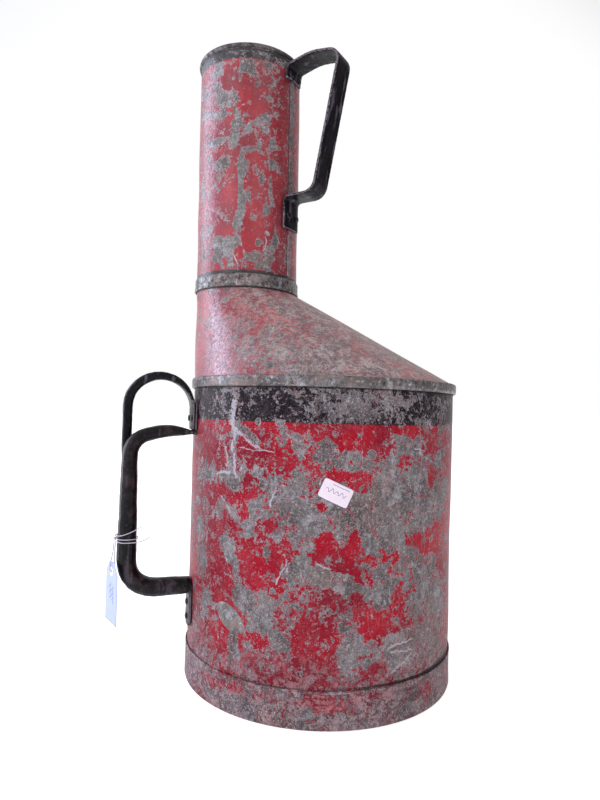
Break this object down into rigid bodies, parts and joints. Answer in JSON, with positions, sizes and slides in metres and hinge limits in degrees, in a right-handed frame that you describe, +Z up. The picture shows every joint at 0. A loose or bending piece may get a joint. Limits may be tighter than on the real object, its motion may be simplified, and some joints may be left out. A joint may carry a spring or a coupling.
{
  "type": "measuring can",
  "caption": "Tall sheet-steel measuring and pouring can with an offset straight neck, sloping shoulder, strap handle on the neck and looped carrying handle on the body.",
  "frame": {"origin": "on the ground under the middle of the can's box, the hanging tag left out", "axes": "+Z up the can; -X to the side where the neck and the carrying handle stand; -Y is the front with the price label"},
  "size_m": [0.3316, 0.2656, 0.6065],
  "materials": {
    "red_paint": "red enamel, chipped through to galvanised steel",
    "shoulder_paint": "thin worn red enamel over galvanised steel",
    "neck_paint": "red enamel, chipped through to galvanised steel",
    "bare_zinc": "dull weathered zinc with dark stains",
    "band_zinc": "scuffed zinc with remains of red enamel",
    "black_paint": "old black enamel, semi-gloss, worn at edges",
    "steel_wire": "plain steel wire",
    "paper": "blank matt card",
    "cotton": "twisted white cotton string"
  },
  "bodies": {
    "can": {"base_band": "band_zinc", "body_handle_grip": "black_paint", "body_handle_loop": "black_paint", "body_shell": "red_paint", "bottom_plate": "bare_zinc", "handle_rivet_tail_lower": "black_paint", "handle_rivet_tail_upper": "black_paint", "handle_rivet_top_left": "black_paint", "handle_rivet_top_right": "black_paint", "mouth_wire": "steel_wire", "neck_collar": "bare_zinc", "neck_handle": "black_paint", "neck_rivet_lower_left": "black_paint", "neck_rivet_lower_right": "black_paint", "neck_rivet_upper_left": "black_paint", "neck_rivet_upper_right": "black_paint", "neck_tube": "neck_paint", "price_label": "paper", "shoulder_band": "bare_zinc", "shoulder_cone": "shoulder_paint", "tag_string_end_lower": "cotton", "tag_string_end_upper": "cotton", "tag_string_tie": "cotton"},
    "hang_tag": {"tag_card": "paper", "tag_string": "cotton"}
  },
  "joints": [
    {"name": "tag_swing", "type": "hinge", "parent": "can", "child": "hang_tag", "pos_m": [-0.15895, -0.0684, 0.1355], "axis": [-0.342, 0.9397, 0], "range_deg": [0, 80]}
  ]
}
